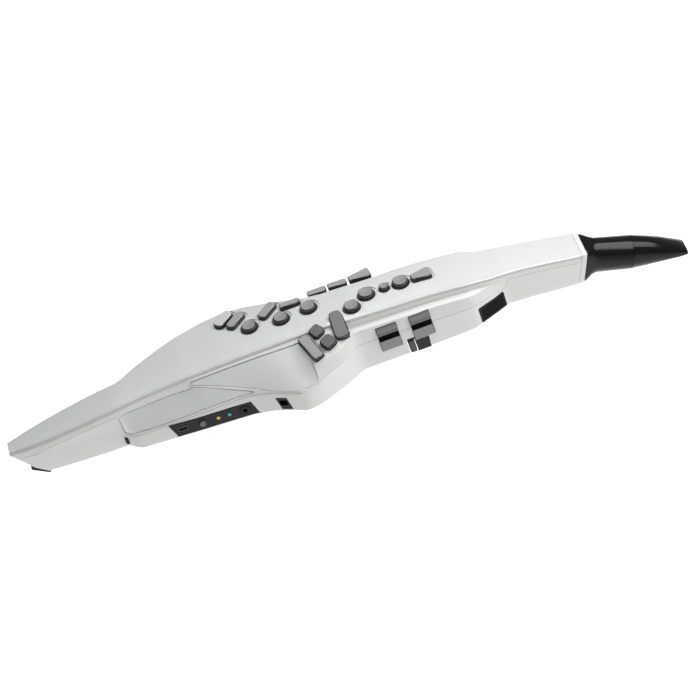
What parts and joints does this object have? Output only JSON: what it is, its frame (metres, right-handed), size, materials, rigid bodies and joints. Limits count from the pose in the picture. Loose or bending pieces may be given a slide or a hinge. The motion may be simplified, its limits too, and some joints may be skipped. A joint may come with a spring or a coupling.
{
  "type": "digital wind controller",
  "caption": "Slim white digital wind controller with a silver plate of grey saxophone-style keys, a side wing with a jack panel, speaker grilles and a black mouthpiece.",
  "frame": {"origin": "middle of the bounding box at its lowest plane", "axes": "+X along the key face from the bell end to the mouthpiece, +Z out of the key face, -Y the side with the little-finger table and the jack panel"},
  "size_m": [0.5744, 0.1012, 0.0745],
  "materials": {
    "white_shell": "satin",
    "silver_plate": "fine metallic satin",
    "grey_key": "satin",
    "pale_key": "satin",
    "black_plastic": "satin",
    "black_rubber": "matte",
    "steel": "brushed",
    "clear_lens": "clear",
    "cell_jacket": "gloss",
    "circuit_board": "solder mask",
    "silicone": "matte"
  },
  "bodies": {
    "controller_body": {"wing_panel_lower": "silver_plate", "wing_panel_upper": "silver_plate", "jack_panel": "black_plastic", "usb_socket": "steel", "phones_jack": "black_plastic", "lamp_light_guide": "clear_lens", "dc_socket": "black_plastic", "mouthpiece_socket": "black_plastic", "speaker_grille_near": "black_plastic", "speaker_driver_near": "steel", "speaker_grille_far": "black_plastic", "speaker_driver_far": "steel", "battery_tray": "black_plastic", "battery_cell_1": "cell_jacket", "battery_cell_3": "cell_jacket", "battery_cell_2": "cell_jacket", "battery_cell_4": "cell_jacket", "thumb_rest": "black_rubber", "thumb_hook": "black_plastic", "strap_bracket": "steel", "bell_foot": "black_rubber", "wing_bumper": "black_rubber", "key_contact_sheet": "silicone", "key_switch_board": "circuit_board", "main_board": "circuit_board", "breath_sensor": "black_plastic", "breath_tube": "silicone", "upper_casing": "white_shell", "lower_casing": "white_shell", "top_plate": "silver_plate", "neck_end_ring": "white_shell"},
    "key_d": {"key_d": "grey_key"},
    "key_e": {"key_e": "grey_key"},
    "key_f": {"key_f": "grey_key"},
    "key_g": {"key_g": "grey_key"},
    "key_a": {"key_a": "grey_key"},
    "key_bis": {"key_bis": "grey_key"},
    "key_b": {"key_b": "grey_key"},
    "key_eb": {"key_eb": "pale_key"},
    "key_low_c": {"key_low_c": "grey_key"},
    "key_f_sharp": {"key_f_sharp": "grey_key"},
    "key_trill": {"key_trill": "grey_key"},
    "key_front_f": {"key_front_f": "grey_key"},
    "key_side_c": {"key_side_c": "grey_key"},
    "key_side_bb": {"key_side_bb": "grey_key"},
    "key_side_high_e": {"key_side_high_e": "grey_key"},
    "key_g_sharp": {"key_g_sharp": "grey_key"},
    "key_c_sharp": {"key_c_sharp": "grey_key"},
    "key_low_b": {"key_low_b": "grey_key"},
    "key_low_bb": {"key_low_bb": "grey_key"},
    "palm_key_d": {"palm_key_d": "grey_key"},
    "palm_key_e_flat": {"palm_key_e_flat": "grey_key"},
    "octave_key_low": {"octave_key_low": "grey_key"},
    "octave_key_high": {"octave_key_high": "grey_key"},
    "power_button": {"power_button": "grey_key"},
    "thumb_controller": {"thumb_controller": "black_rubber"},
    "battery_door": {"battery_door": "white_shell"},
    "strap_ring": {"strap_ring": "steel"},
    "mouthpiece": {"mouthpiece": "black_plastic"},
    "reed": {"reed": "black_rubber"}
  },
  "joints": [
    {"name": "key_d_press", "type": "slide", "parent": "controller_body", "child": "key_d", "axis": [0.0108, 0, -0.9999], "range_m": [0, 0.002], "stiffness_N_per_m": 300},
    {"name": "key_e_press", "type": "slide", "parent": "controller_body", "child": "key_e", "axis": [0.013, 0, -0.9999], "range_m": [0, 0.002], "stiffness_N_per_m": 300},
    {"name": "key_f_press", "type": "slide", "parent": "controller_body", "child": "key_f", "axis": [0.0102, 0, -0.9999], "range_m": [0, 0.002], "stiffness_N_per_m": 300},
    {"name": "key_g_press", "type": "slide", "parent": "controller_body", "child": "key_g", "axis": [-0.0451, 0, -0.999], "range_m": [0, 0.002], "stiffness_N_per_m": 300},
    {"name": "key_a_press", "type": "slide", "parent": "controller_body", "child": "key_a", "axis": [-0.0509, 0, -0.9987], "range_m": [0, 0.002], "stiffness_N_per_m": 300},
    {"name": "key_bis_press", "type": "slide", "parent": "controller_body", "child": "key_bis", "axis": [-0.0549, 0, -0.9985], "range_m": [0, 0.002], "stiffness_N_per_m": 300},
    {"name": "key_b_press", "type": "slide", "parent": "controller_body", "child": "key_b", "axis": [-0.0659, 0, -0.9978], "range_m": [0, 0.002], "stiffness_N_per_m": 300},
    {"name": "key_eb_press", "type": "slide", "parent": "controller_body", "child": "key_eb", "axis": [0.0149, 0, -0.9999], "range_m": [0, 0.002], "stiffness_N_per_m": 300},
    {"name": "key_low_c_press", "type": "slide", "parent": "controller_body", "child": "key_low_c", "axis": [0.0124, 0, -0.9999], "range_m": [0, 0.002], "stiffness_N_per_m": 300},
    {"name": "key_f_sharp_press", "type": "slide", "parent": "controller_body", "child": "key_f_sharp", "axis": [0.0109, 0, -0.9999], "range_m": [0, 0.002], "stiffness_N_per_m": 300},
    {"name": "key_trill_press", "type": "slide", "parent": "controller_body", "child": "key_trill", "axis": [0.0143, 0, -0.9999], "range_m": [0, 0.002], "stiffness_N_per_m": 300},
    {"name": "key_front_f_press", "type": "slide", "parent": "controller_body", "child": "key_front_f", "axis": [-0.0865, 0, -0.9962], "range_m": [0, 0.002], "stiffness_N_per_m": 300},
    {"name": "key_side_c_press", "type": "slide", "parent": "controller_body", "child": "key_side_c", "axis": [-0.0001, 0, -1], "range_m": [0, 0.002], "stiffness_N_per_m": 300},
    {"name": "key_side_bb_press", "type": "slide", "parent": "controller_body", "child": "key_side_bb", "axis": [-0.0383, 0, -0.9993], "range_m": [0, 0.002], "stiffness_N_per_m": 300},
    {"name": "key_side_high_e_press", "type": "slide", "parent": "controller_body", "child": "key_side_high_e", "axis": [-0.0509, 0, -0.9987], "range_m": [0, 0.002], "stiffness_N_per_m": 300},
    {"name": "key_g_sharp_press", "type": "slide", "parent": "controller_body", "child": "key_g_sharp", "axis": [0, 0.3584, -0.9336], "range_m": [0, 0.002], "stiffness_N_per_m": 300},
    {"name": "key_c_sharp_press", "type": "slide", "parent": "controller_body", "child": "key_c_sharp", "axis": [0, 0.3584, -0.9336], "range_m": [0, 0.002], "stiffness_N_per_m": 300},
    {"name": "key_low_b_press", "type": "slide", "parent": "controller_body", "child": "key_low_b", "axis": [0, 0.3584, -0.9336], "range_m": [0, 0.002], "stiffness_N_per_m": 300},
    {"name": "key_low_bb_press", "type": "slide", "parent": "controller_body", "child": "key_low_bb", "axis": [0, 0.3584, -0.9336], "range_m": [0, 0.002], "stiffness_N_per_m": 300},
    {"name": "palm_key_d_press", "type": "slide", "parent": "controller_body", "child": "palm_key_d", "axis": [0, 1, 0], "range_m": [0, 0.002], "stiffness_N_per_m": 300},
    {"name": "palm_key_e_flat_press", "type": "slide", "parent": "controller_body", "child": "palm_key_e_flat", "axis": [0, 1, 0], "range_m": [0, 0.002], "stiffness_N_per_m": 300},
    {"name": "octave_key_low_press", "type": "slide", "parent": "controller_body", "child": "octave_key_low", "axis": [0, 0, 1], "range_m": [0, 0.0012], "stiffness_N_per_m": 500},
    {"name": "octave_key_high_press", "type": "slide", "parent": "controller_body", "child": "octave_key_high", "axis": [0, 0, 1], "range_m": [0, 0.0012], "stiffness_N_per_m": 500},
    {"name": "power_button_press", "type": "slide", "parent": "controller_body", "child": "power_button", "axis": [0.0872, 0.9962, 0], "range_m": [0, 0.001], "stiffness_N_per_m": 800},
    {"name": "thumb_controller_rock", "type": "hinge", "parent": "controller_body", "child": "thumb_controller", "pos_m": [0.08197, -0.01111, 0.02527], "axis": [0, 1, 0], "range_deg": [-3, 3], "stiffness_Nm_per_rad": 0.05},
    {"name": "battery_door_pull", "type": "slide", "parent": "controller_body", "child": "battery_door", "axis": [0, 0, -1], "range_m": [0, 0.012]},
    {"name": "strap_ring_swing", "type": "hinge", "parent": "controller_body", "child": "strap_ring", "pos_m": [0.00741, 0.00619, 0.02077], "axis": [0, 1, 0], "range_deg": [-85, 85]},
    {"name": "mouthpiece_pull", "type": "slide", "parent": "controller_body", "child": "mouthpiece", "axis": [0.9483, 0, -0.3173], "range_m": [0, 0.018]},
    {"name": "reed_bite", "type": "hinge", "parent": "mouthpiece", "child": "reed", "pos_m": [0.25652, 0.00619, 0.00294], "axis": [0, -1, 0], "range_deg": [0, 1.4], "stiffness_Nm_per_rad": 0.3}
  ]
}
